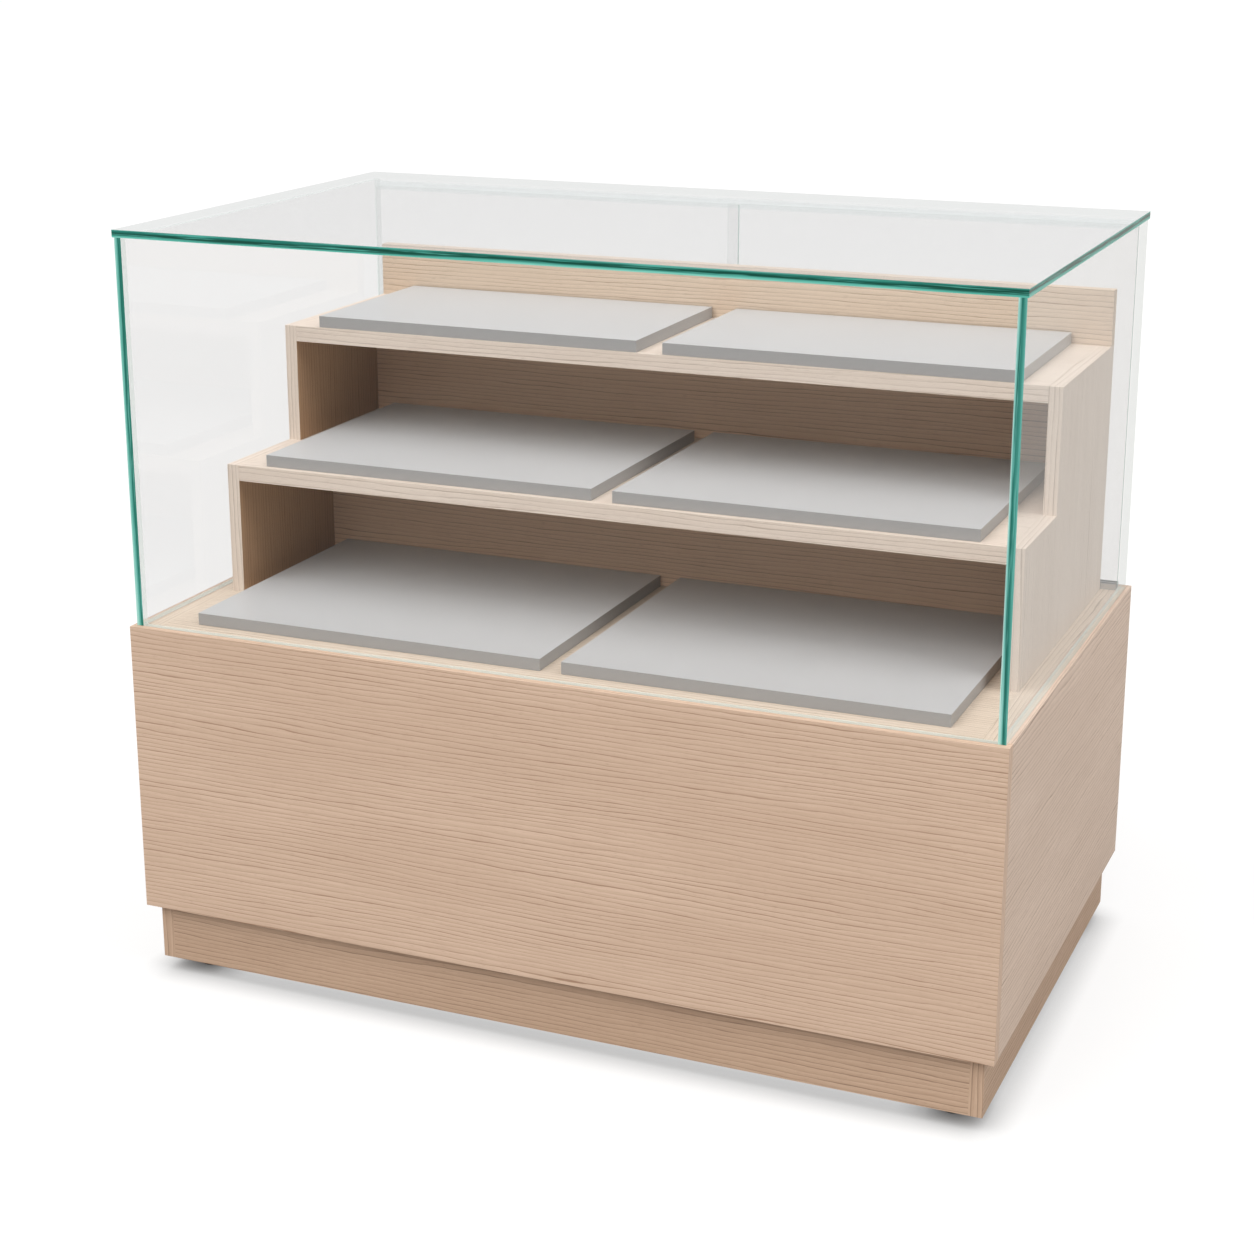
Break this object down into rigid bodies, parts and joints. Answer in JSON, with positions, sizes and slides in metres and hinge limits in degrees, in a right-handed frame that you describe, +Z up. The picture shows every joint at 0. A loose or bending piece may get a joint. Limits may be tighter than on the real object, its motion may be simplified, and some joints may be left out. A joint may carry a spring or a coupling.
{
  "type": "bakery display case",
  "caption": "Free-standing bakery display case: wooden storage cabinet on a recessed plinth with a frameless glass box, a stepped riser and lift-out display boards.",
  "frame": {"origin": "on the floor, under the middle of the case", "axes": "+X to the customer's right along the front, +Y from the customer's side to the staff side, +Z up"},
  "size_m": [1.2, 0.712, 1.036],
  "materials": {
    "oak_veneer": "matt lacquered pale oak veneer with fine straight grain",
    "glass": "clear float glass, polished edges with a green tint",
    "grey_laminate": "satin light grey compact laminate",
    "black_plastic": "matt black moulded",
    "aluminium": "satin anodised",
    "steel": "plated, fine brushed",
    "clear_plastic": "clear extruded"
  },
  "bodies": {
    "case": {"front_panel": "oak_veneer", "side_panel_left": "oak_veneer", "side_panel_right": "oak_veneer", "bottom_panel": "oak_veneer", "deck_panel": "oak_veneer", "deck_strip_left": "oak_veneer", "deck_strip_right": "oak_veneer", "deck_cleat_left": "oak_veneer", "deck_cleat_right": "oak_veneer", "centre_partition": "oak_veneer", "storage_shelf_left": "oak_veneer", "storage_shelf_right": "oak_veneer", "plinth_front": "oak_veneer", "plinth_rear": "oak_veneer", "plinth_left": "oak_veneer", "plinth_right": "oak_veneer", "foot_block_front_left": "oak_veneer", "foot_block_front_right": "oak_veneer", "foot_block_rear_left": "oak_veneer", "foot_block_rear_right": "oak_veneer", "door_catch_left": "black_plastic", "door_catch_right": "black_plastic", "hinge_leaf_frame_left": "steel", "hinge_leaf_frame_right": "steel", "hinge_pin_left": "steel", "hinge_pin_right": "steel", "glass_front": "glass", "glass_left": "glass", "glass_right": "glass", "glass_top": "glass", "track_lower": "aluminium", "track_upper": "clear_plastic", "riser_side_left": "oak_veneer", "riser_side_right": "oak_veneer", "shelf_tier_2": "oak_veneer", "shelf_tier_3": "oak_veneer", "rear_upstand": "oak_veneer"},
    "foot_front_left": {"levelling_foot_front_left": "black_plastic"},
    "foot_front_right": {"levelling_foot_front_right": "black_plastic"},
    "foot_rear_left": {"levelling_foot_rear_left": "black_plastic"},
    "foot_rear_right": {"levelling_foot_rear_right": "black_plastic"},
    "door_left": {"storage_door_left": "oak_veneer", "storage_pull_left": "aluminium", "hinge_leaf_door_left": "steel"},
    "door_right": {"storage_door_right": "oak_veneer", "storage_pull_right": "aluminium", "hinge_leaf_door_right": "steel"},
    "slider_left": {"sliding_glass_left": "glass", "sliding_pull_left": "aluminium"},
    "slider_right": {"sliding_glass_right": "glass", "sliding_pull_right": "aluminium"},
    "service_1": {"service_panel_tier_1": "oak_veneer"},
    "service_2": {"service_panel_tier_2": "oak_veneer"},
    "board_1_left": {"display_board_1_left": "grey_laminate"},
    "board_1_right": {"display_board_1_right": "grey_laminate"},
    "board_2_left": {"display_board_2_left": "grey_laminate"},
    "board_2_right": {"display_board_2_right": "grey_laminate"},
    "board_3_left": {"display_board_3_left": "grey_laminate"},
    "board_3_right": {"display_board_3_right": "grey_laminate"}
  },
  "joints": [
    {"name": "slider_left_slide", "type": "slide", "parent": "case", "child": "slider_left", "axis": [1, 0, 0], "range_m": [0, 0.5]},
    {"name": "slider_right_slide", "type": "slide", "parent": "case", "child": "slider_right", "axis": [-1, 0, 0], "range_m": [0, 0.5]},
    {"name": "door_left_hinge", "type": "hinge", "parent": "case", "child": "door_left", "pos_m": [-0.578, 0.338, 0.301], "axis": [0, 0, 1], "range_deg": [0, 105]},
    {"name": "door_right_hinge", "type": "hinge", "parent": "case", "child": "door_right", "pos_m": [0.578, 0.338, 0.301], "axis": [0, 0, -1], "range_deg": [0, 105]},
    {"name": "service_1_slide", "type": "slide", "parent": "case", "child": "service_1", "axis": [0, 1, 0], "range_m": [0, 0.2]},
    {"name": "service_2_slide", "type": "slide", "parent": "case", "child": "service_2", "axis": [0, 1, 0], "range_m": [0, 0.06]},
    {"name": "board_1_left_lift", "type": "slide", "parent": "case", "child": "board_1_left", "axis": [0, 0, 1], "range_m": [0, 0.1]},
    {"name": "board_1_right_lift", "type": "slide", "parent": "case", "child": "board_1_right", "axis": [0, 0, 1], "range_m": [0, 0.1]},
    {"name": "board_2_left_lift", "type": "slide", "parent": "case", "child": "board_2_left", "axis": [0, 0, 1], "range_m": [0, 0.1]},
    {"name": "board_2_right_lift", "type": "slide", "parent": "case", "child": "board_2_right", "axis": [0, 0, 1], "range_m": [0, 0.1]},
    {"name": "board_3_left_lift", "type": "slide", "parent": "case", "child": "board_3_left", "axis": [0, 0, 1], "range_m": [0, 0.1]},
    {"name": "board_3_right_lift", "type": "slide", "parent": "case", "child": "board_3_right", "axis": [0, 0, 1], "range_m": [0, 0.1]},
    {"name": "foot_front_left_screw", "type": "slide", "parent": "case", "child": "foot_front_left", "axis": [0, 0, 1], "range_m": [-0.012, 0]},
    {"name": "foot_front_right_screw", "type": "slide", "parent": "case", "child": "foot_front_right", "axis": [0, 0, 1], "range_m": [-0.012, 0]},
    {"name": "foot_rear_left_screw", "type": "slide", "parent": "case", "child": "foot_rear_left", "axis": [0, 0, 1], "range_m": [-0.012, 0]},
    {"name": "foot_rear_right_screw", "type": "slide", "parent": "case", "child": "foot_rear_right", "axis": [0, 0, 1], "range_m": [-0.012, 0]}
  ]
}
